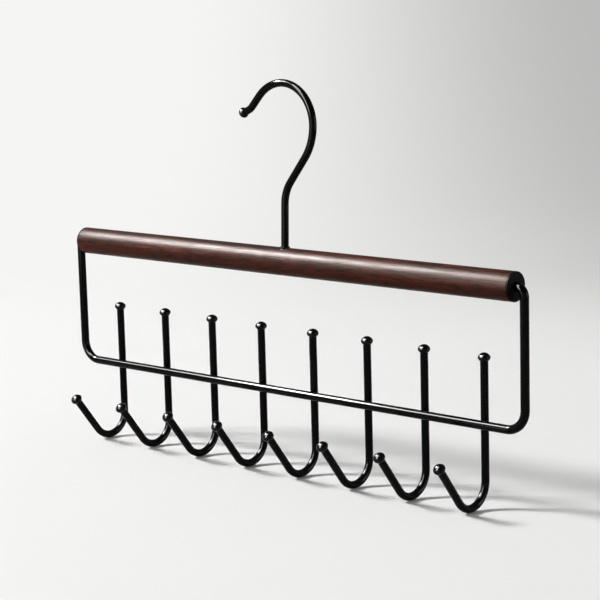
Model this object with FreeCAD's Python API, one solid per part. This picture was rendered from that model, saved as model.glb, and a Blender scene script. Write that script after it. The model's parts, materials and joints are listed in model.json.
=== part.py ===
# Tie hanger: a round wooden bar turns on a wire hook, and a wire frame of tie hooks swings below the bar.
# Millimetres, +Z up, +X along the bar. The origin is the inside top of the crook, which bears on the rail.
import FreeCAD, Part
import math
import os

Vector = FreeCAD.Vector

# Wooden bar
bar_diameter = 16.5
bar_length = 339.4
bar_edge_round = 0.5

# End caps: a flange over the end grain, and a spigot that lines the end bore
cap_thickness = 0.8
cap_edge_round = 0.3
spigot_diameter = 9.0
spigot_length = 10.0
end_bore_spare = 1.5

# Swinging frame: one bent wire, whose two ends are axles in the end caps
frame_wire = 5.0
rail_drop = 78.0
shoulder_radius = 5.0
corner_radius = 12.0
axle_overrun = 2.0

# Tie hooks, welded to the back of the frame's rail
hook_count = 8
hook_wire = 4.5
hook_margin = 30.2
hook_rise = 36.5
hook_drop = 31.9
hook_bend_radius = 13.0
hook_bend_angle = 143.0
hook_leg = 28.0
weld_sink = 0.25

# Ball tips of the tie hooks
ball_diameter = 7.0
ball_height = 5.5
ball_grip = 0.8

# Top hook: stem, slanted neck, round crook and a tail that turns outwards
stem_wire = 4.5
crook_radius = 24.3
crook_height = 79.4
crook_offset = 2.5
stem_offset = 4.5
crook_wrap = 138.0
neck_angle = 37.7
neck_lower_radius = 21.0
neck_upper_radius = 30.0
tail_run = 8.2
tail_radius = 9.0
tail_turn = 26.0
tail_end_run = 4.7

# Ball tip of the top hook
tail_ball_diameter = 6.3
tail_ball_height = 5.6

# Swivel: bush in the bar, collar above it in the same bore, washer and lock nut in a counterbore below it,
# and a wooden plug that closes the counterbore flush with the bar
bush_wall = 0.95
bush_recess = 0.6
collar_height = 1.1
counterbore_depth = 7.5
washer_diameter = 9.0
washer_thickness = 0.8
nut_across_flats = 7.0
nut_height = 3.2
nut_chamfer = 0.4
stem_overrun = 0.5

# Densities in grams per cubic centimetre, for the angle at which the frame hangs
wire_density = 7.85
ball_density = 1.1

# Clearances between pieces that move on each other
running_clearance = 0.05
side_gap = 0.3
lift_gap = 0.1
collar_gap = 0.3
counterbore_gap = 0.5
plug_gap = 0.3

# Places that follow from the sizes above
bar_radius = bar_diameter / 2
bar_x = crook_offset - stem_offset
bar_z = -(crook_height + crook_radius - stem_wire / 2)
bar_reach = bar_length / 2
cap_reach = bar_reach + cap_thickness
side_reach = cap_reach + side_gap + shoulder_radius
end_bore_depth = spigot_length + axle_overrun + end_bore_spare
first_hook_x = bar_x - side_reach + hook_margin
hook_pitch = 2 * (bar_x - first_hook_x) / (hook_count - 1)
shank_y = (frame_wire + hook_wire) / 2 - weld_sink
stem_x = crook_offset
seat_floor_z = bar_z - bar_radius + counterbore_depth
bush_bore = stem_wire + 2 * running_clearance
bush_diameter = bush_bore + 2 * bush_wall
bush_top_z = bar_z + bar_radius - bush_recess
collar_diameter = bush_diameter - 2 * collar_gap
nut_corner_radius = nut_across_flats / math.sqrt(3)
counterbore_diameter = max(washer_diameter, 2 * nut_corner_radius) + 2 * counterbore_gap
washer_top_z = seat_floor_z - lift_gap
nut_top_z = washer_top_z - washer_thickness
stem_end_z = nut_top_z - nut_height - stem_overrun
plug_top_z = stem_end_z - plug_gap
neck_curve = math.radians(neck_angle)
neck_reach = crook_radius - crook_offset
neck_bends = neck_lower_radius + neck_upper_radius
neck_run = (neck_reach - neck_bends * (1 - math.cos(neck_curve))) / math.sin(neck_curve)
neck_rise = neck_bends * math.sin(neck_curve) + neck_run * math.cos(neck_curve)
stem_top_z = bar_z + crook_height - neck_rise

UP = Vector(0, 0, 1)
ACROSS = Vector(1, 0, 0)
BACK = Vector(0, 1, 0)


def run(length):
    """A straight stretch of wire."""
    return ("run", length, 0.0)


def bend(radius, angle):
    """A bend of the wire's centre line, in degrees. Positive turns by the right-hand rule."""
    return ("bend", radius, angle)


def bent_wire(start, heading, turn_axis, diameter, steps):
    """Round wire bent in one plane, step by step. Returns its solid, end point and end heading."""
    place = Vector(start)
    ahead = Vector(heading)
    pieces = []
    for kind, size, angle in steps:
        if kind == "run":
            pieces.append(Part.makeCylinder(diameter / 2, size, place, ahead))
            place = place + ahead * size
            continue
        axis = turn_axis * math.copysign(1.0, angle)
        centre = place + axis.cross(ahead) * size
        disc = Part.Face(Part.Wire(Part.makeCircle(diameter / 2, place, ahead)))
        pieces.append(disc.revolve(centre, axis, abs(angle)))
        turn = FreeCAD.Rotation(axis, abs(angle))
        place = centre + turn.multVec(place - centre)
        ahead = turn.multVec(ahead)
    return pieces[0].multiFuse(pieces[1:]).Solids[0], place, ahead


def tube(outer_diameter, bore_diameter, length, start, direction):
    """A round tube from its start face along a direction."""
    outer = Part.makeCylinder(outer_diameter / 2, length, start, direction)
    return outer.cut(Part.makeCylinder(bore_diameter / 2, length, start, direction))


def ball_outline(diameter, height):
    """Half outline of a flattened ball about the Y axis: a round side between two flatter caps."""
    side_radius = height ** 2 / (diameter + 2 * height)
    side_centre = diameter / 2 - side_radius
    cap_radius = (side_centre ** 2 + height ** 2 / 4 - side_radius ** 2) / (height - 2 * side_radius)
    lean = math.atan2(cap_radius - height / 2, side_centre)
    joint = Vector(side_centre + side_radius * math.cos(lean), side_radius * math.sin(lean), 0)
    cap_lean = (lean + math.pi / 2) / 2
    cap_middle = Vector(math.cos(cap_lean), math.sin(cap_lean), 0) * cap_radius
    cap_middle.y -= cap_radius - height / 2
    pole = Vector(0, height / 2, 0)
    flip = FreeCAD.Matrix(1, 0, 0, 0, 0, -1, 0, 0, 0, 0, 1, 0, 0, 0, 0, 1)
    lower_cap = Part.Arc(flip * pole, flip * cap_middle, flip * joint)
    side = Part.Arc(flip * joint, Vector(diameter / 2, 0, 0), joint)
    upper_cap = Part.Arc(joint, cap_middle, pole)
    axis = Part.LineSegment(pole, flip * pole)
    return Part.Face(Part.Wire([curve.toShape() for curve in (lower_cap, side, upper_cap, axis)]))


def ball_tip(wire_end, heading, diameter, height, wire_diameter):
    """A flattened ball with a blind socket that holds the wire's end."""
    ball = ball_outline(diameter, height).revolve(Vector(), BACK, 360)
    socket = Part.makeCylinder(wire_diameter / 2, height / 2 + ball_grip, BACK * (-height / 2), BACK)
    ball = ball.cut(socket).Solids[0]
    ball.Placement = FreeCAD.Placement(wire_end - heading * ball_grip, FreeCAD.Rotation(BACK, heading))
    return ball


def make_bar():
    """Wooden bar with a bore in each end, a bore for the bush and a counterbore from below."""
    bar = Part.makeCylinder(bar_radius, bar_length, Vector(bar_x - bar_reach, 0, bar_z), ACROSS)
    rims = [edge for edge in bar.Edges if edge.Closed and isinstance(edge.Curve, Part.Circle)]
    bar = bar.makeFillet(bar_edge_round, rims)
    for side in (-1, 1):
        mouth = Vector(bar_x + side * bar_reach, 0, bar_z)
        bar = bar.cut(Part.makeCylinder(spigot_diameter / 2, end_bore_depth, mouth, ACROSS * -side))
    below = Vector(stem_x, 0, bar_z - bar_diameter)
    bar = bar.cut(Part.makeCylinder(bush_diameter / 2, 2 * bar_diameter, below, UP))
    return bar.cut(Part.makeCylinder(counterbore_diameter / 2, seat_floor_z - below.z, below, UP))


def make_plug():
    """Plug that fills the counterbore under the stem's end, cut to the bar's round."""
    below = Vector(stem_x, 0, bar_z - bar_diameter)
    plug = Part.makeCylinder(counterbore_diameter / 2, plug_top_z - below.z, below, UP)
    skin = Part.makeCylinder(bar_radius, 2 * counterbore_diameter, below, ACROSS)
    skin.translate(Vector(-counterbore_diameter, 0, bar_diameter))
    return plug.common(skin).Solids[0]


def make_end_cap(side):
    """End cap: flange and spigot, bored right through for the frame's axle."""
    outward = ACROSS * side
    bar_end = Vector(bar_x + side * bar_reach, 0, bar_z)
    flange = Part.makeCylinder(bar_radius, cap_thickness, bar_end, outward)
    outer_rim = [edge for edge in flange.Edges
                 if edge.Closed and abs(edge.CenterOfMass.x - bar_end.x) > cap_thickness / 2]
    flange = flange.makeFillet(cap_edge_round, outer_rim)
    inner_end = bar_end - outward * spigot_length
    spigot = Part.makeCylinder(spigot_diameter / 2, spigot_length, inner_end, outward)
    bore_radius = frame_wire / 2 + running_clearance
    bore = Part.makeCylinder(bore_radius, spigot_length + cap_thickness, inner_end, outward)
    return flange.fuse(spigot).cut(bore)


def make_frame():
    """Frame wire, upright: axle, shoulder, side, corner, rail and back again."""
    axle = side_gap + cap_thickness + spigot_length + axle_overrun
    side = rail_drop - shoulder_radius - corner_radius
    rail = 2 * (side_reach - corner_radius)
    start = Vector(bar_x - side_reach + shoulder_radius + axle, 0, bar_z)
    steps = [run(axle), bend(shoulder_radius, -90), run(side), bend(corner_radius, -90), run(rail),
             bend(corner_radius, -90), run(side), bend(shoulder_radius, -90), run(axle)]
    return bent_wire(start, ACROSS * -1, BACK, frame_wire, steps)[0]


def make_tie_hook(x):
    """One tie hook, upright, let into the rail at its weld, and its two ball tips."""
    rail_z = bar_z - rail_drop
    top = Vector(x, shank_y, rail_z + hook_rise + ball_grip)
    shank = hook_rise + ball_grip + hook_drop
    steps = [run(shank), bend(hook_bend_radius, -hook_bend_angle), run(hook_leg + ball_grip)]
    wire, tip, heading = bent_wire(top, UP * -1, ACROSS, hook_wire, steps)
    rail = Part.makeCylinder(frame_wire / 2, 2 * frame_wire, Vector(x - frame_wire, 0, rail_z), ACROSS)
    top_ball = ball_tip(top, UP, ball_diameter, ball_height, hook_wire)
    tip_ball = ball_tip(tip, heading, ball_diameter, ball_height, hook_wire)
    return wire.cut(rail).Solids[0], top_ball, tip_ball


def hang_angle(pieces):
    """Turn about the bar, in degrees, that brings the weight of upright pieces under the bar's axis."""
    moment = Vector()
    for name, piece in pieces.items():
        density = ball_density if name.endswith("_ball") else wire_density
        moment = moment + (piece.CenterOfMass - Vector(0, 0, bar_z)) * (density * piece.Volume)
    return math.degrees(math.atan2(-moment.y, -moment.z))


def make_frame_assembly():
    """Frame, tie hooks and ball tips, turned about the bar to where their weight hangs under it."""
    pieces = {"wire_frame": make_frame()}
    for number in range(hook_count):
        name = f"tie_hook_{number + 1}"
        wire, top_ball, tip_ball = make_tie_hook(first_hook_x + number * hook_pitch)
        pieces[name] = wire
        pieces[name + "_top_ball"] = top_ball
        pieces[name + "_tip_ball"] = tip_ball
    angle = hang_angle(pieces)
    for piece in pieces.values():
        piece.rotate(Vector(0, 0, bar_z), ACROSS, angle)
    return pieces


def make_top_hook():
    """Top hook wire, from its threaded end up the stem and over the crook to the tail, and its ball."""
    steps = [run(stem_top_z - stem_end_z), bend(neck_lower_radius, neck_angle), run(neck_run),
             bend(neck_upper_radius, -neck_angle), bend(crook_radius, -crook_wrap), run(tail_run),
             bend(tail_radius, tail_turn), run(tail_end_run)]
    wire, tip, heading = bent_wire(Vector(stem_x, 0, stem_end_z), UP, BACK, stem_wire, steps)
    return wire, ball_tip(tip, heading, tail_ball_diameter, tail_ball_height, stem_wire)


def make_nut():
    """Hexagon lock nut with chamfered corners, under the washer."""
    start = Vector(stem_x, 0, nut_top_z - nut_height)
    corners = [start + Vector(math.cos(turn), math.sin(turn), 0) * nut_corner_radius
               for turn in (math.radians(60 * k) for k in range(7))]
    prism = Part.Face(Part.makePolygon(corners)).extrude(UP * nut_height)
    round_blank = Part.makeCylinder(nut_corner_radius, nut_height, start, UP)
    rims = [edge for edge in round_blank.Edges if edge.Closed and isinstance(edge.Curve, Part.Circle)]
    nut = prism.common(round_blank.makeChamfer(nut_chamfer, rims))
    return nut.cut(Part.makeCylinder(stem_wire / 2, nut_height, start, UP)).Solids[0]


def make_swivel():
    """The pieces that hold the stem in the bar: bush, collar, washer and lock nut."""
    bush_start = Vector(stem_x, 0, seat_floor_z)
    collar_start = Vector(stem_x, 0, bush_top_z + lift_gap)
    washer_start = Vector(stem_x, 0, nut_top_z)
    return {
        "stem_bush": tube(bush_diameter, bush_bore, bush_top_z - seat_floor_z, bush_start, UP),
        "stop_collar": tube(collar_diameter, stem_wire, collar_height, collar_start, UP),
        "retaining_washer": tube(washer_diameter, stem_wire, washer_thickness, washer_start, UP),
        "lock_nut": make_nut(),
    }


def main():
    """Builds every piece and writes one STEP file for each."""
    pieces = {
        "wooden_bar": make_bar(),
        "bore_plug": make_plug(),
        "end_cap_left": make_end_cap(-1),
        "end_cap_right": make_end_cap(1),
    }
    pieces["top_hook"], pieces["top_hook_ball"] = make_top_hook()
    pieces.update(make_swivel())
    pieces.update(make_frame_assembly())
    os.makedirs("parts", exist_ok=True)
    for name, shape in pieces.items():
        if not shape.isValid() or len(shape.Solids) != 1:
            raise RuntimeError(f"{name} is not one valid solid")
        shape.exportStep(f"parts/{name}.step")
    print(f"{len(pieces)} pieces written")


if __name__ == "__main__":
    main()
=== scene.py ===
"""Looks of the tie hanger: bent wire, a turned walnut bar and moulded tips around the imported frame."""

import json
import logging
import math
from dataclasses import dataclass, field
from enum import Enum
from typing import Any

import bmesh
import bpy
import numpy as np
from bpy.types import Material, Node, NodeSocket, NodeTree, Object
from mathutils import Matrix, Vector

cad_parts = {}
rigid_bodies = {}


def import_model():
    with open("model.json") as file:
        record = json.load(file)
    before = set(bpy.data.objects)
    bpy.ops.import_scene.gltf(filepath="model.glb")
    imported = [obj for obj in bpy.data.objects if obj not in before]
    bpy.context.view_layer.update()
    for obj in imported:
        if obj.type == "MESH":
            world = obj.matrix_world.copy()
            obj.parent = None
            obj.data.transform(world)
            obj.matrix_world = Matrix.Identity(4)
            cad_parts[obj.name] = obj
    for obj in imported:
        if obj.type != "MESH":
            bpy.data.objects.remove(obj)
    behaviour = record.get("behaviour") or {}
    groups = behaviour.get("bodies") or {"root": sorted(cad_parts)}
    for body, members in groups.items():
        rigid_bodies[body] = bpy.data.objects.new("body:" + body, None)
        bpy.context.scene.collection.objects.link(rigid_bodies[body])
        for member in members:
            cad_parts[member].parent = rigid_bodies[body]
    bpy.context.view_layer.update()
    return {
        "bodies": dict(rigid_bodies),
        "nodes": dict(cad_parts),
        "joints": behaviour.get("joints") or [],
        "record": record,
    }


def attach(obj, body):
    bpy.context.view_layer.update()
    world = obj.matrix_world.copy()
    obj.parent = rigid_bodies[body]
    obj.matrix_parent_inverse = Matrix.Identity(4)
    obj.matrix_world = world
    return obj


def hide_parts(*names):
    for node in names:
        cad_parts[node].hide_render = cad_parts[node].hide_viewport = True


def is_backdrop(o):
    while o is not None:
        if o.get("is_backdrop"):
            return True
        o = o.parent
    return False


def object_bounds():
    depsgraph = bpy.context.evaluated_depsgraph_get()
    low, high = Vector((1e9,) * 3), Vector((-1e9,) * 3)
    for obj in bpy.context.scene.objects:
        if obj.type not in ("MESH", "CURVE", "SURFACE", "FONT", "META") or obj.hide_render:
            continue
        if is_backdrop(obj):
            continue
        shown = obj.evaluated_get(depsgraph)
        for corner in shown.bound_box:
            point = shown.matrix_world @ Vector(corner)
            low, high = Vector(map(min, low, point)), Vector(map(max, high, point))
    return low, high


LOG = logging.getLogger("tie_hanger")

MM = 0.001
MERGE_DISTANCE = 1e-7
SHARP_DEGREES = 38.0
WIRE_SIDES = 56
TURNED_SIDES = 96
BEAD_SIDES = 24
BEND_STEP_DEGREES = 2.5
ROUND_STEPS = 8
STEEP = 0.5  # Share of a unit axis along Z from which it counts as upright

ACROSS = np.array((1.0, 0.0, 0.0))
BACK = np.array((0.0, 1.0, 0.0))
UP = np.array((0.0, 0.0, 1.0))

Array = np.ndarray
Triple = tuple[float, float, float]
Colour = Triple
Span = tuple[float, float]
FULL: Span = (0.0, 1.0)


class Body(Enum):
    """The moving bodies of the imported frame."""

    HOOK = "hook"
    BAR = "bar"
    FRAME = "frame"


class Slot(Enum):
    """The record's material slots."""

    WOOD = "walnut_wood"
    PAINT = "black_paint"
    BALL = "ball_plastic"
    CAP = "cap_plastic"
    BUSH = "bush_plastic"
    STEEL = "plated_steel"


class BarEnd(Enum):
    """The two ends of the bar, with the direction along X that points out of each."""

    LEFT = -1
    RIGHT = 1


@dataclass
class Surface:
    """A sheet of points on a grid of two parameters, whose last column joins the first again."""

    points: Array  # Rows by columns by three coordinates, in metres
    ring_rows: bool = False  # True where the last row joins the first again too

    def quads(self, first: int) -> Array:
        """Four corners of each cell of the grid.

        Args:
            first: Number of the grid's first vertex in the mesh.

        Returns:
            Array of cells by four vertex numbers.
        """
        rows, columns = self.points.shape[:2]
        row = np.arange(rows if self.ring_rows else rows - 1)[:, None]
        column = np.arange(columns)[None, :]
        beside = (column + 1) % columns
        here = first + row * columns
        beyond = first + (row + 1) % rows * columns
        corners = np.broadcast_arrays(here + column, here + beside, beyond + beside, beyond + column)
        return np.stack(corners, axis=-1).reshape(-1, 4)


def ring(sides: int) -> Array:
    """Angles of a full turn in equal steps, without the last one that repeats the first."""
    return np.linspace(0.0, 2 * math.pi, sides, endpoint=False)


def quarter(centre: Span, radius: float, start: float, end: float) -> Array:
    """Arc of a profile: centre + radius * (cos, sin) of an angle in degrees that runs evenly."""
    angle = np.radians(np.linspace(start, end, ROUND_STEPS))
    return np.array(centre) + radius * np.column_stack((np.cos(angle), np.sin(angle)))


def rounded_edge(along: float, radius: float, size: float) -> Array:
    """Rounded outer edge of a profile whose end face lies at that place along the axis."""
    return quarter((along - size, radius - size), size, 90.0, 0.0)


def around(radius: Array | float, turn: Array, height: Array | float) -> Array:
    """Points round an upright axis: (radius * cos turn, radius * sin turn, height)."""
    return np.stack(np.broadcast_arrays(radius * np.cos(turn), radius * np.sin(turn), height), axis=-1)


def turned(profile: Array, origin: Array, axis: Array, closed: bool = False) -> Surface:
    """A turned shape: origin + along * axis + radius * (cos t * side + sin t * (axis x side)), t a full turn.

    Args:
        profile: Array of points by two: along the axis, radius from it. Radius zero makes a pole.
        origin: Where the axis starts.
        axis: Unit direction of the axis.
        closed: True where the profile is a closed loop.

    Returns:
        The surface, profile by turn.
    """
    helper = ACROSS if abs(axis[2]) > STEEP else UP
    side = np.cross(np.cross(axis, helper), axis)
    side = side / np.linalg.norm(side)
    turn = ring(TURNED_SIDES)[None, :, None]
    spoke = np.cos(turn) * side + np.sin(turn) * np.cross(axis, side)
    along = profile[:, 0][:, None, None] * axis
    return Surface(origin + along + profile[:, 1][:, None, None] * spoke, ring_rows=closed)


@dataclass(frozen=True)
class Run:
    """A straight stretch of wire."""

    length: float


@dataclass(frozen=True)
class Bend:
    """A bend of the wire's centre line. Positive degrees turn by the right-hand rule about the turn axis."""

    radius: float
    degrees: float


@dataclass(frozen=True)
class WirePath:
    """The centre line of a wire that is bent in one plane, as a list of runs and bends."""

    start: Array
    heading: Array  # Unit direction at the start
    turn_axis: Array  # Unit normal of the bending plane
    steps: tuple[Run | Bend, ...]

    def line(self) -> tuple[Array, Array]:
        """Follows the steps in the bending plane.

        With h the heading's angle, a run adds length * (cos h, sin h), and a bend of radius r from h0 adds
        r * (sin h - sin h0, cos h0 - cos h), with r negative where it turns the other way.

        Returns:
            Points and unit headings along the wire, each an array of stations by three.
        """
        places = [np.zeros((1, 2))]
        angles = [np.zeros(1)]
        for step in self.steps:
            place = places[-1][-1]
            angle = angles[-1][-1]
            if isinstance(step, Run):
                places.append(place + step.length * np.array([[math.cos(angle), math.sin(angle)]]))
                angles.append(np.array([angle]))
                continue
            count = math.ceil(abs(step.degrees) / BEND_STEP_DEGREES)
            turn = angle + np.radians(np.linspace(0.0, step.degrees, count + 1)[1:])
            radius = math.copysign(step.radius, step.degrees)
            arc = np.column_stack((np.sin(turn) - math.sin(angle), math.cos(angle) - np.cos(turn)))
            places.append(place + radius * arc)
            angles.append(turn)
        flat = np.concatenate(places)
        angle = np.concatenate(angles)[:, None]
        aside = np.cross(self.turn_axis, self.heading)
        points = self.start + flat[:, :1] * self.heading + flat[:, 1:] * aside
        return points, np.cos(angle) * self.heading + np.sin(angle) * aside

    def end(self) -> tuple[Array, Array]:
        """Last point of the wire and its heading there."""
        points, headings = self.line()
        return points[-1], headings[-1]

    def tube(self, diameter: float) -> Surface:
        """The wire's skin: centre + diameter / 2 * (cos t * normal + sin t * inward), with flat ends.

        Args:
            diameter: Diameter of the wire.

        Returns:
            The surface, stations along the wire by turn. Its first and last rows are the end faces' centres.
        """
        points, headings = self.line()
        turn = ring(WIRE_SIDES)[None, :, None]
        inward = np.cross(self.turn_axis, headings)[:, None, :]
        rim = np.cos(turn) * self.turn_axis + np.sin(turn) * inward
        skin = points[:, None, :] + diameter / 2 * rim
        centres = np.broadcast_to(points[[0, -1], None, :], (2, WIRE_SIDES, 3))
        return Surface(np.concatenate((centres[:1], skin, centres[1:])))


class NodeSketch:
    """Adds and joins the nodes of one shader tree."""

    def __init__(self, tree: NodeTree) -> None:
        """Keeps the tree, without its starting nodes."""
        self.tree = tree
        self.tree.nodes.clear()

    def add(self, kind: str, inputs: dict[str | int, Any] | None = None, **settings: Any) -> Node:
        """Adds one node.

        Args:
            kind: Blender's name of the node type, without the ShaderNode in front.
            inputs: Values or sockets for its inputs, by name or number.
            **settings: Properties of the node.

        Returns:
            The node.
        """
        node = self.tree.nodes.new(("" if kind.startswith("Node") else "ShaderNode") + kind)
        for name, value in settings.items():
            setattr(node, name, value)
        for key, value in (inputs or {}).items():
            self.feed(node.inputs[key], value)
        return node

    def feed(self, target: NodeSocket, value: Any) -> None:
        """Joins a socket to an input, or sets the input's own value."""
        if isinstance(value, NodeSocket):
            self.tree.links.new(value, target)
        elif target.type == "RGBA":
            target.default_value = (*value, 1.0)
        else:
            target.default_value = value

    def noise(self, place: NodeSocket, scale: Any, detail: float = 2.0) -> NodeSocket:
        """A noise value between 0 and 1 at a place."""
        return self.add("TexNoise", {"Vector": place, "Scale": scale, "Detail": detail}).outputs[0]

    def spread(self, value: Any, span: Span, low: Any = 0.0, high: Any = 1.0) -> NodeSocket:
        """Maps a span of values onto the range from low to high, smoothly and clamped."""
        inputs = {0: value, 1: span[0], 2: span[1], 3: low, 4: high}
        return self.add("MapRange", inputs, interpolation_type="SMOOTHSTEP").outputs[0]

    def blend(self, factor: Any, first: Any, second: Any) -> NodeSocket:
        """Mixes two colours, which are inputs 6 and 7 and output 2 of the mix node."""
        return self.add("Mix", {0: factor, 6: first, 7: second}, data_type="RGBA").outputs[2]

    def math(self, operation: str, first: Any, second: Any) -> NodeSocket:
        """A sum, product or other operation of two values."""
        return self.add("Math", {0: first, 1: second}, operation=operation).outputs[0]

    def weigh(self, first: Any, second: Any, weight: float) -> NodeSocket:
        """Mean of two values, with the weight on the first and the rest of 1 on the second."""
        parts = (self.math("MULTIPLY", first, weight), self.math("MULTIPLY", second, 1 - weight))
        return self.math("ADD", *parts)

    def place(self) -> NodeSocket:
        """Object coordinates."""
        return self.add("TexCoord").outputs["Object"]

    def stretched(self, scale: Triple) -> NodeSocket:
        """Object coordinates times a scale along each axis."""
        return self.add("Mapping", {"Vector": self.place(), "Scale": scale}).outputs[0]

    def surface(self, inputs: dict[str, Any]) -> None:
        """Ends a material's tree in one principled shader."""
        shader = self.add("BsdfPrincipled", inputs)
        self.add("OutputMaterial", {"Surface": shader.outputs[0]})


def new_material(name: str) -> tuple[Material, NodeSketch]:
    """An empty material and the sketch of its nodes."""
    material = bpy.data.materials.new(name)
    material.use_nodes = True
    return material, NodeSketch(material.node_tree)


class Mottle:
    """Shared effect: the uneven skin of a coat of paint, a moulded face or a plated one."""

    NAME = "skin_mottle"
    INPUTS = {
        "Place": "Vector",
        "Fine Scale": "Float",
        "Broad Scale": "Float",
        "Dark": "Color",
        "Light": "Color",
        "Smooth": "Float",
        "Rough": "Float",
    }
    OUTPUTS = {"Colour": "Color", "Roughness": "Float", "Height": "Float"}
    FINE_DETAIL = 2.0
    BROAD_DETAIL = 3.0
    HAZE_SPAN = (0.3, 0.7)
    SPECKLE_SPAN = (0.25, 0.75)
    HAZE_WEIGHT = 0.6

    @classmethod
    def group(cls) -> NodeTree:
        """Builds the group on first use: broad haze changes tone and gloss, and fine peel gives the height.

        Returns:
            The node group.
        """
        if cls.NAME in bpy.data.node_groups:
            return bpy.data.node_groups[cls.NAME]
        tree = bpy.data.node_groups.new(cls.NAME, "ShaderNodeTree")
        for way, sockets in (("INPUT", cls.INPUTS), ("OUTPUT", cls.OUTPUTS)):
            for name, kind in sockets.items():
                tree.interface.new_socket(name, in_out=way, socket_type=f"NodeSocket{kind}")
        sketch = NodeSketch(tree)
        given = sketch.add("NodeGroupInput").outputs
        fine = sketch.noise(given["Place"], given["Fine Scale"], cls.FINE_DETAIL)
        broad = sketch.noise(given["Place"], given["Broad Scale"], cls.BROAD_DETAIL)
        haze = sketch.spread(broad, cls.HAZE_SPAN)
        both = sketch.weigh(haze, sketch.spread(fine, cls.SPECKLE_SPAN), cls.HAZE_WEIGHT)
        colour = sketch.blend(both, given["Dark"], given["Light"])
        roughness = sketch.spread(both, FULL, given["Smooth"], given["Rough"])
        sketch.add("NodeGroupOutput", {"Colour": colour, "Roughness": roughness, "Height": fine})
        return tree


@dataclass(frozen=True)
class SkinFinish:
    """A plain coloured skin with a mottled tone and gloss: paint, moulded plastic or plating."""

    name: str
    tones: tuple[Colour, Colour]  # Linear colours of its darker and lighter patches
    gloss: Span  # Roughness of its glossier and duller patches
    bump: float  # Width of the peel's bumps
    haze: float  # Width of the haze's patches
    depth: float  # Height of the peel's bumps
    specular: float = 0.5
    metallic: float = 0.0
    strength: float = 1.0  # Of the peel's bumps

    def material(self) -> Material:
        """Builds the material.

        Returns:
            The material, with its noise on Object coordinates.
        """
        material, sketch = new_material(self.name)
        values = (sketch.place(), 1 / self.bump, 1 / self.haze, *self.tones, *self.gloss)
        skin = sketch.add("Group", dict(zip(Mottle.INPUTS, values)), node_tree=Mottle.group()).outputs
        bumps = {"Strength": self.strength, "Distance": self.depth, "Height": skin["Height"]}
        shader = {
            "Base Color": skin["Colour"],
            "Roughness": skin["Roughness"],
            "Normal": sketch.add("Bump", bumps).outputs[0],
            "Specular IOR Level": self.specular,
            "Metallic": self.metallic,
        }
        sketch.surface(shader)
        return material


@dataclass(frozen=True)
class Grain:
    """One feature of the wood's grain, drawn out along X."""

    width: float  # Across the grain
    stretch: float  # How many times longer than wide
    span: Span  # Noise values from which it starts to show and is full
    detail: float = 3.0  # Finer octaves

    def show(self, sketch: NodeSketch) -> NodeSocket:
        """How much of the feature shows at a place, from 0 to 1."""
        place = sketch.stretched((1 / (self.width * self.stretch), 1 / self.width, 1 / self.width))
        return sketch.spread(sketch.noise(place, 1.0, self.detail), self.span)


@dataclass(frozen=True)
class WalnutFinish:
    """Dark stained walnut under a satin lacquer, with its grain along X. Its colours are linear."""

    name: str = "stained_walnut"
    deep: Colour = (0.021, 0.0036, 0.0012)  # Dark growth bands
    warm: Colour = (0.064, 0.0115, 0.003)  # Reddish growth bands
    bright: Colour = (0.15, 0.032, 0.0095)  # Single light fibres
    pore: Colour = (0.004, 0.001, 0.0005)  # Open pores
    bands: Grain = Grain(5.0 * MM, 26.0, (0.36, 0.64))
    fibres: Grain = Grain(1.0 * MM, 20.0, (0.3, 0.72))
    pores: Grain = Grain(0.9 * MM, 9.0, (0.52, 0.62), detail=1.0)
    band_weight: float = 0.45  # Share of the bands in the tone, beside the fibres
    bright_span: Span = (0.5, 1.0)  # Band times fibre from which a fibre starts to be light and is fully so
    bright_share: float = 0.5  # How far a light fibre covers the tone below it
    pore_share: float = 0.75  # How far a pore covers the tone below it
    gloss: Span = (0.36, 0.46)  # Roughness of the lacquer where it lies thick, and over the fibres
    relief: float = 0.022 * MM  # Depth of the pores through the lacquer
    relief_strength: float = 0.8
    fibre_lift: float = 0.3  # Height of the fibres, as a share of the pores' depth
    specular: float = 0.048
    sheen: Colour = (1.0, 0.86, 0.8)  # Tint of the lacquer's gloss

    def material(self) -> Material:
        """Builds the material: growth bands, fibres over them, then open pores that are darker and pitted.

        Returns:
            The material, with its grain on Object coordinates.
        """
        material, sketch = new_material(self.name)
        bands, fibres, pores = (grain.show(sketch) for grain in (self.bands, self.fibres, self.pores))
        ground = sketch.blend(sketch.weigh(bands, fibres, self.band_weight), self.deep, self.warm)
        both = sketch.math("MULTIPLY", bands, fibres)
        light_fibre = sketch.spread(both, self.bright_span, high=self.bright_share)
        lively = sketch.blend(light_fibre, ground, self.bright)
        lift = sketch.math("SUBTRACT", sketch.math("MULTIPLY", fibres, self.fibre_lift), pores)
        pitted = sketch.math("MULTIPLY", pores, self.pore_share)
        pits = {"Strength": self.relief_strength, "Distance": self.relief, "Height": lift}
        shader = {
            "Base Color": sketch.blend(pitted, lively, self.pore),
            "Roughness": sketch.spread(fibres, FULL, *self.gloss),
            "Normal": sketch.add("Bump", pits).outputs[0],
            "Specular IOR Level": self.specular,
            "Specular Tint": self.sheen,
        }
        sketch.surface(shader)
        return material


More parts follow.
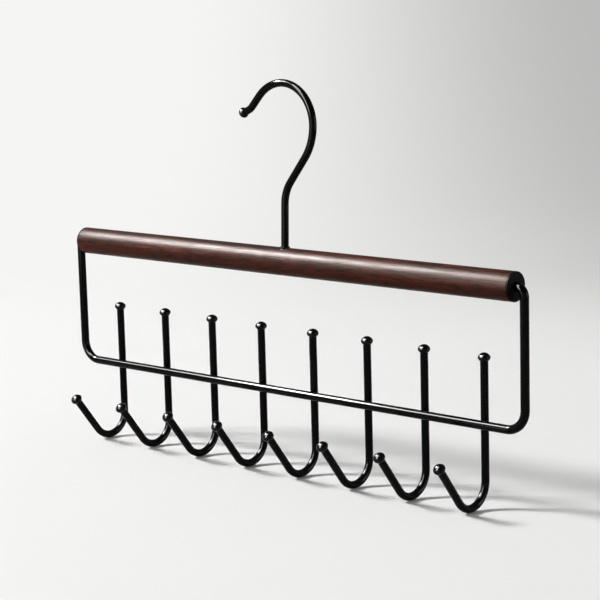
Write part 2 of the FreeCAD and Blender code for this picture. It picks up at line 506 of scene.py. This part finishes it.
# Linear colours of the darker and lighter patches of the skins
JET = ((0.001, 0.001, 0.001), (0.002, 0.002, 0.0019))
SOOT = ((0.001, 0.001, 0.001), (0.0022, 0.0022, 0.0021))
COAL = ((0.006, 0.006, 0.0062), (0.012, 0.0118, 0.0115))
ZINC = ((0.5, 0.49, 0.46), (0.66, 0.65, 0.62))
FINISHES: dict[Slot, SkinFinish | WalnutFinish] = {
    Slot.WOOD: WalnutFinish(),
    Slot.PAINT: SkinFinish(
        "black_gloss_paint", JET, (0.09, 0.13), bump=1.1 * MM, haze=14 * MM, depth=0.003 * MM, specular=0.05
    ),
    Slot.BALL: SkinFinish(
        "black_ball_plastic", JET, (0.1, 0.15), bump=0.9 * MM, haze=5 * MM, depth=0.003 * MM, specular=0.1
    ),
    Slot.CAP: SkinFinish(
        "black_cap_plastic", SOOT, (0.3, 0.4), bump=0.35 * MM, haze=6 * MM, depth=0.01 * MM, specular=0.03
    ),
    Slot.BUSH: SkinFinish(
        "black_bush_plastic", COAL, (0.34, 0.46), bump=0.4 * MM, haze=4 * MM, depth=0.01 * MM, specular=0.3
    ),
    Slot.STEEL: SkinFinish(
        "zinc_plated_steel", ZINC, (0.24, 0.4), bump=0.3 * MM, haze=3 * MM, depth=0.006 * MM, metallic=1.0
    ),
}


@dataclass
class Bench:
    """Makes finished pieces: mesh, finish, body, slot and the solid that each stands for."""

    finishes: dict[Slot, Material] = field(default_factory=dict)
    pieces: list[Object] = field(default_factory=list)

    def mix_finishes(self) -> None:
        """Builds the material of each slot."""
        self.finishes = {slot: finish.material() for slot, finish in FINISHES.items()}

    def mesh(self, name: str, surfaces: tuple[Surface, ...]) -> Object:
        """Joins surfaces to one closed mesh with smooth faces and crisp edges.

        Args:
            name: Name of the object.
            surfaces: Grids whose shared borders and poles are merged.

        Returns:
            The object, at the origin, with its place in its mesh.
        """
        counts = [surface.points.shape[0] * surface.points.shape[1] for surface in surfaces]
        starts = np.cumsum([0, *counts])
        points = np.concatenate([surface.points.reshape(-1, 3) for surface in surfaces])
        quads = np.concatenate([surface.quads(start) for surface, start in zip(surfaces, starts)])
        mesh = bpy.data.meshes.new(name)
        mesh.from_pydata(points.tolist(), [], quads.tolist())
        shell = bmesh.new()
        shell.from_mesh(mesh)
        bmesh.ops.remove_doubles(shell, verts=shell.verts, dist=MERGE_DISTANCE)
        bmesh.ops.recalc_face_normals(shell, faces=shell.faces)
        shell.to_mesh(mesh)
        shell.free()
        mesh.shade_smooth()
        mesh.set_sharp_from_angle(angle=math.radians(SHARP_DEGREES))
        made = bpy.data.objects.new(name, mesh)
        bpy.context.scene.collection.objects.link(made)
        return made

    def add(self, name: str, body: Body, slot: Slot, surfaces: tuple[Surface, ...], node: str = "") -> None:
        """Makes one piece, dresses it and puts it on its body.

        Args:
            name: Name of the piece.
            body: Body that it rides on.
            slot: Slot that it takes its finish from.
            surfaces: Grids that make up its mesh.
            node: CAD node that it stands for, if any.
        """
        piece = self.mesh(name, surfaces)
        piece.data.materials.append(self.finishes[slot])
        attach(piece, body.value)
        if node:
            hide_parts(node)
        self.pieces.append(piece)
        LOG.info("%s: %d faces on %s, finish %s", name, len(piece.data.polygons), body.value, slot.value)


@dataclass(frozen=True)
class Places:
    """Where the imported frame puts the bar, the stem and the tie hooks."""

    bar_centre: Array  # Middle of the bar's axis
    stem_x: float  # Place of the turning stem along the bar
    hook_xs: tuple[float, ...]  # Places of the tie hooks along the bar
    bend_centre: Array  # Middle of the first tie hook's bend, as it hangs

    @classmethod
    def from_frame(cls, frame: dict[str, Any], seat_radius: float) -> "Places":
        """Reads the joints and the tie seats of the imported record.

        Args:
            seat_radius: Inside radius of a tie hook's bend, from its middle down to the tie seat.

        Returns:
            The places, in metres.
        """
        joints = {joint["name"]: np.array(joint["pos_m"], float) for joint in frame["joints"]}
        mounts = {mount["name"]: np.array(mount["pos_m"], float) for mount in frame["record"]["mounts"]}
        seats = [place for name, place in sorted(mounts.items()) if name.startswith("tie_seat")]
        return cls(
            bar_centre=joints["frame_swing"],
            stem_x=float(joints["hook_swivel"][0]),
            hook_xs=tuple(float(seat[0]) for seat in seats),
            bend_centre=seats[0] + UP * seat_radius,
        )

    def axis_at(self, x: float) -> Array:
        """Point of the bar's axis at a place along it."""
        return np.array((x, *self.bar_centre[1:]))

    def crossing(self) -> Array:
        """Point where the stem's axis crosses the bar's axis."""
        return self.axis_at(self.stem_x)


@dataclass(frozen=True)
class BallTip:
    """A moulded ball, flattened along the wire, with a blind socket for the wire's end."""

    diameter: float  # Across the wire
    height: float  # Along the wire
    wire: float  # Diameter of the wire
    grip: float = 0.8 * MM  # How far the socket reaches past the ball's middle
    lip: float = 0.16 * MM  # Rounding of the socket's mouth

    def profile(self) -> Array:
        """Half outline: a round side between two flatter caps, then the mouth, wall and floor of the socket.

        With d the diameter and h the height, the side's radius is h^2 / (d + 2h) about a circle, and each
        cap is a sphere that meets the side without a crease.

        Returns:
            Array of points by two: along the wire from the ball's middle, radius from its axis.
        """
        side = self.height**2 / (self.diameter + 2 * self.height)
        spread = self.diameter / 2 - side
        cap = (spread**2 + self.height**2 / 4 - side**2) / (self.height - 2 * side)
        cap_centre = cap - self.height / 2
        lean = math.degrees(math.atan2(cap_centre, spread))
        mouth = self.wire / 2 + self.lip
        mouth_lean = math.degrees(math.acos(mouth / cap))
        outer_cap = quarter((-cap_centre, 0.0), cap, 0.0, 90.0 - lean)
        round_side = quarter((0.0, spread), side, 90.0 - lean, 90.0 + lean)
        inner_cap = quarter((cap_centre, 0.0), cap, 90.0 + lean, 90.0 + mouth_lean)
        mouth_along = cap_centre - math.sqrt(cap**2 - mouth**2)
        lip = quarter((mouth_along + self.lip, mouth), self.lip, 180.0, 270.0)
        floor = np.array([[self.grip, self.wire / 2], [self.grip, 0.0]])
        return np.concatenate((outer_cap, round_side, inner_cap, lip, floor))

    def surface(self, wire_end: Array, heading: Array) -> Surface:
        """The ball on the end of a wire that ends there with that heading."""
        return turned(self.profile(), wire_end - self.grip * heading, heading)


@dataclass
class WoodenBar:
    """The turned bar and its two end caps."""

    places: Places
    diameter: float = 16.5 * MM  # Of the bar and the caps
    length: float = 339.4 * MM  # Of the wood alone
    edge_round: float = 0.5 * MM  # At the ends of the wood
    end_bore: float = 9.0 * MM  # Diameter of the bore in each end
    end_bore_depth: float = 13.5 * MM
    stem_bore: float = 6.5 * MM  # Diameter of the bore for the stem's bush
    counterbore: float = 10.0 * MM  # Diameter of the recess under the bar
    counterbore_depth: float = 7.5 * MM
    plug_depth: float = 2.6 * MM  # From the lowest line of the bar
    rim_break: float = 0.15 * MM  # Broken edge around the bores
    patch_reach: float = 12.0 * MM  # Half length of the stretch of skin around the bores
    patch_steps: int = 16  # Along that stretch's side
    rim_rows: int = 12  # Between a bore's rim and the edge of that stretch
    rim_bias: float = 1.6  # Power that draws those rows towards the rim
    skin_rows: int = 24  # Along each remaining stretch
    cap_thickness: float = 0.8 * MM  # Of its flange
    cap_round: float = 0.3 * MM  # At the flange's outer edge
    spigot_length: float = 10.0 * MM
    cap_bore: float = 5.1 * MM  # Diameter of the axle's hole
    cap_chamfer: float = 0.12 * MM  # At that hole's outer edge

    def patch_border(self) -> tuple[Array, Array]:
        """Border of the half skin around a bore, as one loop of equal steps along four sides.

        Returns:
            Places along the bar from the stem, and angles from the crest, each an array along the loop.
        """
        level = math.pi / 2
        arc = np.linspace(-level, level, TURNED_SIDES // 2, endpoint=False)
        run = np.linspace(self.patch_reach, -self.patch_reach, self.patch_steps, endpoint=False)
        side = np.full(arc.size, self.patch_reach)
        along = np.concatenate((side, run, -side, -run))
        crest = np.full(run.size, level)
        return along, np.concatenate((arc, crest, -arc, -crest))

    def rim_patch(self, bore_radius: float, rise: int) -> Array:
        """Skin between the border and a bore's broken rim.

        Rows run from the border to the rim: place and angle go in straight lines between the two, and each
        point lies on the bar at (x, R sin angle, rise * R cos angle).

        Args:
            bore_radius: Radius of the bore.
            rise: 1 for the upper half of the bar, -1 for the lower half.

        Returns:
            Array of rows by columns by three, about the stem's axis at the bar's middle.
        """
        radius = self.diameter / 2
        along, angle = self.patch_border()
        turn = np.arctan2(radius * angle, along)
        rim = bore_radius + self.rim_break
        share = np.linspace(1.0, 0.0, self.rim_rows)[:, None] ** self.rim_bias
        place = share * along + (1 - share) * rim * np.cos(turn)
        lean = share * angle + (1 - share) * np.arcsin(rim * np.sin(turn) / radius)
        return np.stack((place, radius * np.sin(lean), rise * radius * np.cos(lean)), axis=-1)

    def bore_ring(self, bore_radius: float, heights: Array | float) -> Array:
        """One row of points around a bore, at given heights, in step with the border's loop.

        Args:
            bore_radius: Radius of the bore.
            heights: Height of each point over the bar's axis, or one for all.

        Returns:
            Array of one row by columns by three.
        """
        along, angle = self.patch_border()
        turn = np.arctan2(self.diameter / 2 * angle, along)
        return around(bore_radius, turn, heights)[None]

    def crest_height(self, bore_radius: float) -> Array:
        """Height of the bar's skin over its axis, at each point around a bore, less the broken edge."""
        across = self.bore_ring(bore_radius, 0.0)[0, :, 1]
        return np.sqrt((self.diameter / 2) ** 2 - across**2) - self.rim_break

    def bored_stretch(self) -> Surface:
        """The stretch around the stem: upper skin, bush bore, seat, recess and lower skin as one grid.

        Returns:
            The surface, rows from the upper border through the bar to the lower border.
        """
        bore = self.stem_bore / 2
        recess = self.counterbore / 2
        seat = self.counterbore_depth - self.diameter / 2
        rows = (
            self.rim_patch(bore, 1),
            self.bore_ring(bore, self.crest_height(bore)),
            self.bore_ring(bore, seat),
            self.bore_ring(recess, seat),
            self.bore_ring(recess, -self.crest_height(recess)),
            self.rim_patch(recess, -1)[::-1],
        )
        return Surface(self.places.crossing() + np.concatenate(rows))

    def plug(self) -> Surface:
        """The plug that closes the recess: flat inside, round side, and a foot that follows the bar's round.

        Rows run from the middle of the inner face over its edge to the foot, where each ring of radius q
        lies on the bar at height -sqrt(R^2 - (q sin t)^2).

        Returns:
            The surface, with a pole in the middle of each face.
        """
        recess = self.counterbore / 2
        inner = self.plug_depth - self.diameter / 2
        share = np.linspace(1.0, 0.0, self.rim_rows)
        foot = [self.bore_ring(q, -self.crest_height(q) - self.rim_break) for q in recess * share]
        rows = np.concatenate((self.bore_ring(0.0, inner), self.bore_ring(recess, inner), *foot))
        return Surface(self.places.crossing() + rows)

    def plain_stretch(self, end: BarEnd) -> Surface:
        """The rest of the bar on one side: skin, rounded edge, end grain and end bore, turned about X.

        Args:
            end: Which end.

        Returns:
            The turned surface, from the border of the bored stretch to the floor of the end bore.
        """
        radius = self.diameter / 2
        reach = self.length / 2
        start = self.patch_reach + end.value * (self.places.stem_x - self.places.bar_centre[0])
        skin = np.linspace(start, reach - self.edge_round, self.skin_rows)
        skin = np.column_stack((skin, np.full(skin.size, radius)))
        edge = rounded_edge(reach, radius, self.edge_round)
        bore = self.end_bore / 2
        floor = reach - self.end_bore_depth
        inside = np.array([[reach, bore], [floor, bore], [floor, 0.0]])
        profile = np.concatenate((skin, edge, inside))
        return turned(profile, self.places.bar_centre, end.value * ACROSS)

    def cap(self, end: BarEnd) -> Surface:
        """An end cap: flange with a rounded outer edge and a spigot, bored through, turned about X.

        Args:
            end: Which end.

        Returns:
            The turned surface, a closed loop.
        """
        radius = self.diameter / 2
        face = self.cap_thickness
        bore = self.cap_bore / 2
        edge = rounded_edge(face, radius, self.cap_round)
        spigot = self.end_bore / 2
        along = (face, face - self.cap_chamfer, -self.spigot_length, -self.spigot_length, 0.0, 0.0)
        radii = (bore + self.cap_chamfer, bore, bore, spigot, spigot, radius)
        rest = np.column_stack((along, radii))
        seat = self.places.bar_centre + end.value * self.length / 2 * ACROSS
        return turned(np.concatenate((edge, rest)), seat, end.value * ACROSS, closed=True)

    def build(self, bench: Bench) -> None:
        """Makes the bar and its caps on the bench."""
        stretches = (self.plain_stretch(BarEnd.LEFT), self.bored_stretch(), self.plain_stretch(BarEnd.RIGHT))
        bench.add("walnut_bar", Body.BAR, Slot.WOOD, stretches, "wooden_bar")
        bench.add("walnut_plug", Body.BAR, Slot.WOOD, (self.plug(),), "bore_plug")
        for end in BarEnd:
            side = end.name.lower()
            bench.add(f"bar_cap_{side}", Body.BAR, Slot.CAP, (self.cap(end),), f"end_cap_{side}")


@dataclass(frozen=True)
class RingShape:
    """A turned ring round the stem. The heights of its two faces count from the bar's axis."""

    bottom: float
    top: float
    outer: float  # Diameter
    bore: float  # Diameter
    edge: float = 0.2 * MM  # Rounding of its outer edges

    def surface(self, middle: Array) -> Surface:
        """Turns the ring about Z.

        Args:
            middle: Point of the stem's axis from which the heights count.

        Returns:
            The turned surface, a closed loop.
        """
        lower = quarter((self.bottom + self.edge, self.outer / 2 - self.edge), self.edge, 180.0, 90.0)
        upper = rounded_edge(self.top, self.outer / 2, self.edge)
        bored = np.array([[self.top, self.bore / 2], [self.bottom, self.bore / 2]])
        return turned(np.concatenate((lower, upper, bored)), middle, UP, closed=True)


@dataclass
class Swivel:
    """Bush, collar, washer and lock nut that let the bar turn on the stem."""

    places: Places
    stem: float = 4.5 * MM  # Diameter
    bush: RingShape = RingShape(bottom=-0.75 * MM, top=7.65 * MM, outer=6.5 * MM, bore=4.6 * MM)
    collar: RingShape = RingShape(bottom=7.75 * MM, top=8.85 * MM, outer=5.9 * MM, bore=stem)
    washer: RingShape = RingShape(bottom=-1.65 * MM, top=-0.85 * MM, outer=9.0 * MM, bore=stem)
    nut_flats: float = 7.0 * MM  # Width across its flats
    nut_height: float = 3.2 * MM
    nut_chamfer: float = 0.4 * MM  # At its corners
    chamfer_rows: int = 3

    def nut(self) -> Surface:
        """Hexagon nut: each height's radius is the smaller of the hexagon's and the chamfer cone's.

        The hexagon's radius is half the flats' width over cos(t), t the angle from the nearest flat's middle.

        Returns:
            The surface, rows around the nut's section by turn.
        """
        turn = ring(TURNED_SIDES)
        sixth = math.pi / 3
        flat = self.nut_flats / 2 / np.cos((turn % sixth) - sixth / 2)
        corner = self.nut_flats / math.sqrt(3)
        top = self.washer.bottom
        bottom = top - self.nut_height
        inset = np.linspace(0.0, self.nut_chamfer, self.chamfer_rows)
        heights = np.concatenate((bottom + inset, top - inset[::-1], (top, bottom)))
        cone = corner - self.nut_chamfer + np.concatenate((inset, inset[::-1]))
        outer = np.minimum(flat[None, :], cone[:, None])
        radius = np.concatenate((outer, np.full((2, turn.size), self.stem / 2)))
        return Surface(self.places.crossing() + around(radius, turn, heights[:, None]), ring_rows=True)

    def build(self, bench: Bench) -> None:
        """Makes the four pieces on the bench."""
        middle = self.places.crossing()
        bench.add("swivel_bush", Body.BAR, Slot.BUSH, (self.bush.surface(middle),), "stem_bush")
        bench.add("swivel_collar", Body.HOOK, Slot.PAINT, (self.collar.surface(middle),), "stop_collar")
        bench.add("swivel_washer", Body.HOOK, Slot.STEEL, (self.washer.surface(middle),), "retaining_washer")
        bench.add("swivel_nut", Body.HOOK, Slot.STEEL, (self.nut(),), "lock_nut")


@dataclass
class TopHook:
    """The hook that hangs on the closet rail: stem, slanted neck, crook and a tail with a ball."""

    places: Places
    wire: float = 4.5 * MM  # Diameter
    stem_foot: float = -5.35 * MM  # Height of the stem's lower end over the bar's axis
    neck_angle: float = 37.7  # Slant in degrees
    neck_lower: float = 21.0 * MM  # Radius of its lower bend
    neck_upper: float = 30.0 * MM  # Radius of its upper bend
    crook: float = 24.3 * MM  # Radius
    crook_height: float = 79.4 * MM  # Height of its middle over the bar's axis
    crook_offset: float = 2.5 * MM  # How far the stem stands to the side of that middle
    crook_wrap: float = 138.0  # How far it goes round, in degrees
    tail_run: float = 8.2 * MM  # Straight length after the crook
    tail_radius: float = 9.0 * MM  # Radius of its outward bend
    tail_turn: float = 26.0  # Angle of that bend, in degrees
    tail_end: float = 4.7 * MM  # Straight length at the end
    ball: BallTip = BallTip(6.3 * MM, 5.6 * MM, wire)

    def path(self) -> WirePath:
        """The wire's centre line, from the stem's lower end to the tail.

        With a the slant and r both neck bends' radii together, the neck's run is what is left of the way
        aside, (way - r (1 - cos a)) / sin a, and the stem's run is what is left of the way up.

        Returns:
            The path, in the plane of the crook.
        """
        slant = math.radians(self.neck_angle)
        bends = self.neck_lower + self.neck_upper
        aside = self.crook - self.crook_offset
        neck_run = (aside - bends * (1 - math.cos(slant))) / math.sin(slant)
        neck_rise = bends * math.sin(slant) + neck_run * math.cos(slant)
        steps = (
            Run(self.crook_height - neck_rise - self.stem_foot),
            Bend(self.neck_lower, self.neck_angle),
            Run(neck_run),
            Bend(self.neck_upper, -self.neck_angle),
            Bend(self.crook, -self.crook_wrap),
            Run(self.tail_run),
            Bend(self.tail_radius, self.tail_turn),
            Run(self.tail_end),
        )
        return WirePath(self.places.crossing() + self.stem_foot * UP, UP, BACK, steps)

    def build(self, bench: Bench) -> None:
        """Makes the wire and its ball on the bench."""
        path = self.path()
        bench.add("crook_wire", Body.HOOK, Slot.PAINT, (path.tube(self.wire),), "top_hook")
        bench.add("crook_ball", Body.HOOK, Slot.BALL, (self.ball.surface(*path.end()),), "top_hook_ball")


@dataclass
class SwingFrame:
    """The frame that swings under the bar, with its row of tie hooks."""

    places: Places
    wire: float = 5.0 * MM  # Diameter
    rail_drop: float = 78.0 * MM  # From the bar's axis to the rail's
    side_reach: float = 175.8 * MM  # From the bar's middle to the sides
    axle: float = 13.1 * MM  # Straight length of each axle end
    shoulder: float = 5.0 * MM  # Radius of the bends under the bar
    corner: float = 12.0 * MM  # Radius of the bends at the rail
    hook_wire: float = 4.5 * MM  # Diameter
    shank_back: float = 4.5 * MM  # From the rail's axis back to the shanks
    shank_rise: float = 37.3 * MM  # Over the rail's axis
    shank_drop: float = 31.9 * MM  # Under the rail's axis
    hook_bend: float = 13.0 * MM  # Radius
    hook_angle: float = 143.0  # Angle of that bend, in degrees
    hook_leg: float = 28.8 * MM  # Straight length after that bend
    ball: BallTip = BallTip(7.0 * MM, 5.5 * MM, hook_wire)
    weld_radius: float = 0.6 * MM  # Of the bead

    def directions(self) -> tuple[Array, Array]:
        """Down and back of the frame as it hangs.

        The angle is that of the first bend's middle about the bar, less its angle on an upright frame.

        Returns:
            Two unit vectors: down along the frame's sides, and back out of its plane.
        """
        hung = self.places.bend_centre - self.places.bar_centre
        upright_back = self.shank_back - self.hook_bend
        upright_down = self.rail_drop + self.shank_drop
        angle = math.atan2(hung[1], -hung[2]) - math.atan2(upright_back, upright_down)
        down = np.array((0.0, math.sin(angle), -math.cos(angle)))
        return down, np.cross(ACROSS, down)

    def frame_path(self) -> WirePath:
        """The frame wire's centre line: axle, shoulder, side, corner, rail and back again.

        Returns:
            The path, in the frame's hanging plane.
        """
        back = self.directions()[1]
        side = Run(self.rail_drop - self.shoulder - self.corner)
        rail = Run(2 * (self.side_reach - self.corner))
        shoulder = Bend(self.shoulder, -90.0)
        corner = Bend(self.corner, -90.0)
        steps = (Run(self.axle), shoulder, side, corner, rail, corner, side, shoulder, Run(self.axle))
        start = self.places.bar_centre - (self.side_reach - self.shoulder - self.axle) * ACROSS
        return WirePath(start, -ACROSS, back, steps)

    def hook_path(self, x: float) -> WirePath:
        """A tie hook's centre line: shank from its top, bend to the front and up, and leg.

        Args:
            x: Place of the hook along the bar.

        Returns:
            The path, in the plane across the bar.
        """
        down, back = self.directions()
        top = self.places.axis_at(x) + (self.rail_drop - self.shank_rise) * down + self.shank_back * back
        shank = Run(self.shank_rise + self.shank_drop)
        steps = (shank, Bend(self.hook_bend, -self.hook_angle), Run(self.hook_leg))
        return WirePath(top, down, ACROSS, steps)

    def weld(self, x: float) -> Surface:
        """Bead around the weld of a shank and the rail.

        The two round skins meet in a closed curve: across = a cos u, behind = d - sqrt(s^2 - across^2) and
        height = +-sqrt(r^2 - behind^2), with r and s the radii of rail and shank and d between their axes.
        The bead is a round tube along it, in the planes through the curve's middle.

        Args:
            x: Place of the hook along the bar.

        Returns:
            The surface, a ring in both directions.
        """
        down, back = self.directions()
        rail = self.wire / 2
        shank = self.hook_wire / 2
        reach = math.sqrt(shank**2 - (self.shank_back - rail) ** 2)
        along = ring(WIRE_SIDES)
        across = reach * np.cos(along)
        behind = self.shank_back - np.sqrt(shank**2 - across**2)
        height = np.sign(np.sin(along)) * np.sqrt(np.maximum(rail**2 - behind**2, 0.0))
        spoke = np.column_stack((across, height))
        spoke = spoke / np.linalg.norm(spoke, axis=1, keepdims=True)
        turn = ring(BEAD_SIDES)[None, :]
        outward = self.weld_radius * np.cos(turn)
        wide = across[:, None] + outward * spoke[:, :1]
        high = height[:, None] + outward * spoke[:, 1:]
        deep = behind[:, None] + self.weld_radius * np.sin(turn)
        rail_axis = self.places.axis_at(x) + self.rail_drop * down
        points = rail_axis + wide[..., None] * ACROSS - high[..., None] * down + deep[..., None] * back
        return Surface(points, ring_rows=True)

    def build(self, bench: Bench) -> None:
        """Makes the frame, the tie hooks, their balls and their welds on the bench."""
        bench.add("rail_wire", Body.FRAME, Slot.PAINT, (self.frame_path().tube(self.wire),), "wire_frame")
        for number, x in enumerate(self.places.hook_xs, 1):
            node = f"tie_hook_{number}"
            path = self.hook_path(x)
            top_ball = self.ball.surface(path.start, -path.heading)
            tip_ball = self.ball.surface(*path.end())
            bench.add(f"tie_wire_{number}", Body.FRAME, Slot.PAINT, (path.tube(self.hook_wire),), node)
            bench.add(f"tie_top_ball_{number}", Body.FRAME, Slot.BALL, (top_ball,), f"{node}_top_ball")
            bench.add(f"tie_tip_ball_{number}", Body.FRAME, Slot.BALL, (tip_ball,), f"{node}_tip_ball")
            bench.add(f"tie_weld_{number}", Body.FRAME, Slot.PAINT, (self.weld(x),))


@dataclass(frozen=True)
class Softbox:
    """An area lamp near the object."""

    name: str
    direction: Triple  # From the middle of the object to the lamp
    distance: float
    size: Span  # Width and height of the lamp
    power: float  # In watts
    aim: Triple = (0.0, 0.0, 0.0)  # Point that it faces, from the middle of the object
    gloss_only: bool = True  # True for a panel or card that shows in gloss and lights nothing else

    def place(self, middle: Vector) -> None:
        """Makes the lamp.

        Args:
            middle: Middle of the object, from which its direction, distance and aim count.
        """
        lamp = bpy.data.lights.new(self.name, "AREA")
        lamp.shape = "RECTANGLE"
        lamp.size, lamp.size_y = self.size
        lamp.energy = self.power
        stand = bpy.data.objects.new(self.name, lamp)
        stand.location = middle + Vector(self.direction).normalized() * self.distance
        facing = middle + Vector(self.aim) - stand.location
        stand.rotation_euler = facing.to_track_quat("-Z", "Y").to_euler()
        stand.visible_camera = False
        stand.visible_diffuse = not self.gloss_only
        bpy.context.scene.collection.objects.link(stand)


@dataclass
class Studio:
    """Pale cove, lamps and the camera at the photograph's viewing angle."""

    places: Places
    azimuth: float = 42.489  # Camera's turn round the object, in degrees
    elevation: float = 7.9145  # Camera's height over the horizon, in degrees
    distance: float = 1.121555  # Camera's distance from its aim
    lens: float = 114.93  # Focal length for Blender's sensor of 36 millimetres
    aim_right: float = 12.066 * MM  # Aim from the bar's middle, to the right in the picture
    aim_up: float = -22.825 * MM  # Aim from the bar's middle, upwards in the picture
    floor_reach: float = 1.7  # Radius of the flat floor
    floor_rows: int = 3
    sweep_radius: float = 2.0  # The sweep rises from the floor
    sweep_degrees: float = 60.0
    sweep_rows: int = 32
    floor_gap: float = 0.05 * MM  # Gap under the lowest point of the object
    paper_tones: tuple[Colour, Colour] = ((0.86, 0.858, 0.85), (0.88, 0.878, 0.87))  # Linear colours
    paper_cloud: float = 1.5  # Scale of the clouds between those two colours
    paper_rough: float = 0.9
    far_span: Span = (0.4, 1.1)  # Distances from the object where the far paper starts and is full
    painted_shade_side: Span = (-0.25, 0.62)  # Where its painted shade starts and is full, to the right in the picture
    bright_colour: Colour = (0.915, 0.912, 0.9)  # Linear colour of the far paper on the left
    painted_shade_colour: Colour = (0.5, 0.5, 0.495)  # Linear colour of the painted shade where it is full
    ambient: float = 0.25  # Even light from all round
    softboxes: tuple[Softbox, ...] = (
        Softbox("key_softbox", (-0.62, -0.475, 0.62), 4.5, (1.0, 1.0), 232.0, gloss_only=False),
        Softbox("rail_strip", (-0.6779, -0.3119, 0.6657), 1.9589, (0.95, 0.26), 122.0, (-1.328, 0.0, 0.0)),
        Softbox("bar_strip", (-0.6898, -0.3232, 0.6478), 1.2363, (0.18, 0.52), 134.0, (-0.853, 0.0, 0.0)),
        Softbox("link_panel", (-0.4, -0.47, 0.785), 1.6, (0.8, 0.16), 50.0),
        Softbox("front_panel", (-0.2, -0.74, 0.64), 1.6, (0.58, 1.9), 280.0),
        Softbox("left_card", (-0.2125, -0.977, 0.067), 0.6, (0.3, 0.32), 2.5),
        Softbox("right_card", (0.88, 0.42, 0.1), 1.4, (0.4, 0.8), 12.0),
    )

    def picture_axes(self) -> tuple[Vector, Vector]:
        """Two level directions: to the right in the picture, and away from the camera."""
        turn = math.radians(self.azimuth)
        return Vector((math.cos(turn), math.sin(turn), 0.0)), Vector((-math.sin(turn), math.cos(turn), 0.0))

    def place_camera(self) -> None:
        """Sets the camera: aim + distance * back, with back the direction of azimuth and elevation."""
        right, away = self.picture_axes()
        rise = math.radians(self.elevation)
        back = Vector((0.0, 0.0, math.sin(rise))) - away * math.cos(rise)
        above = back.cross(right)
        aim = Vector(self.places.bar_centre) + right * self.aim_right + above * self.aim_up
        data = bpy.data.cameras.new("photo_camera")
        data.lens = self.lens
        camera = bpy.data.objects.new("photo_camera", data)
        facing = Matrix((right, above, back)).transposed().to_4x4()
        camera.matrix_world = Matrix.Translation(aim + back * self.distance) @ facing
        bpy.context.scene.collection.objects.link(camera)
        bpy.context.scene.camera = camera

    def cove(self, floor_z: float) -> Surface:
        """Floor and sweep in one: a flat disc and an arc that rises from it, turned about Z.

        Args:
            floor_z: Height of the floor.

        Returns:
            The turned surface, open at the top.
        """
        rise = np.radians(np.linspace(0.0, self.sweep_degrees, self.sweep_rows))
        sweep = self.sweep_radius * np.column_stack((1 - np.cos(rise), np.sin(rise)))
        out = np.linspace(0.0, self.floor_reach, self.floor_rows, endpoint=False)
        flat = np.column_stack((np.zeros(out.size), out))
        profile = np.concatenate((flat, sweep + (0.0, self.floor_reach)))
        middle = np.array((self.places.bar_centre[0], self.places.bar_centre[1], floor_z))
        return turned(profile, middle, UP)

    def paper(self, middle: Vector) -> Material:
        """Matt pale paper of the cove: lit round the object, where it takes the shadow, and even far off.

        The far paper shows its own colour to the camera, in gloss and through glass: bright on the left of
        the picture, darkened by painted shade to grey on the right. It lights nothing.

        Args:
            middle: Middle of the object, from which the far paper's distance counts.

        Returns:
            The material.
        """
        material, sketch = new_material("cove_paper")
        material.cycles.emission_sampling = "NONE"
        place = sketch.place()
        pale = sketch.blend(sketch.noise(place, self.paper_cloud), *self.paper_tones)
        matt = {"Base Color": pale, "Roughness": self.paper_rough, "Specular IOR Level": 0.0}
        lit = sketch.add("BsdfPrincipled", matt)
        right = self.picture_axes()[0]
        side = sketch.add("VectorMath", {0: place, 1: right}, operation="DOT_PRODUCT").outputs["Value"]
        # Painted shade: the far paper's glowing colour darkens towards the right of the picture, as if less
        # light fell there
        painted_shade = sketch.spread(side, self.painted_shade_side)
        glow = sketch.add("Emission", {"Color": sketch.blend(painted_shade, self.bright_colour, self.painted_shade_colour)})
        distance = sketch.add("VectorMath", {0: place, 1: middle}, operation="DISTANCE").outputs["Value"]
        far = sketch.spread(distance, self.far_span)
        rays = sketch.add("LightPath").outputs
        mirrored = sketch.math("MAXIMUM", rays["Is Glossy Ray"], rays["Is Transmission Ray"])
        seen = sketch.math("MAXIMUM", rays["Is Camera Ray"], mirrored)
        share = sketch.math("MULTIPLY", far, seen)
        both = sketch.add("MixShader", {0: share, 1: lit.outputs[0], 2: glow.outputs[0]})
        sketch.add("OutputMaterial", {"Surface": both.outputs[0]})
        return material

    def build(self, bench: Bench) -> None:
        """Sets up the cove, the light and the camera under the finished object.

        Args:
            bench: The bench, for the cove's mesh.
        """
        low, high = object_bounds()
        middle = (low + high) / 2
        cove = bench.mesh("studio_cove", (self.cove(low.z - self.floor_gap),))
        cove.data.materials.append(self.paper(middle))
        cove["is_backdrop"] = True
        for softbox in self.softboxes:
            softbox.place(middle)
        world = bpy.data.worlds.new("even_light")
        world.use_nodes = True
        sketch = NodeSketch(world.node_tree)
        light = sketch.add("Background", {"Color": (1.0, 1.0, 1.0), "Strength": self.ambient})
        sketch.add("OutputWorld", {"Surface": light.outputs[0]})
        bpy.context.scene.world = world
        bpy.context.scene.view_settings.view_transform = "Standard"
        self.place_camera()


def main() -> None:
    """Loads the frame, builds each sub-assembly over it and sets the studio."""
    logging.basicConfig(level=logging.INFO, format="%(name)s %(message)s")
    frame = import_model()
    bench = Bench()
    bench.mix_finishes()
    places = Places.from_frame(frame, SwingFrame.hook_bend - SwingFrame.hook_wire / 2)
    WoodenBar(places).build(bench)
    Swivel(places).build(bench)
    TopHook(places).build(bench)
    SwingFrame(places).build(bench)
    Studio(places).build(bench)
    LOG.info("%d pieces made", len(bench.pieces))


if __name__ == "__main__":
    main()
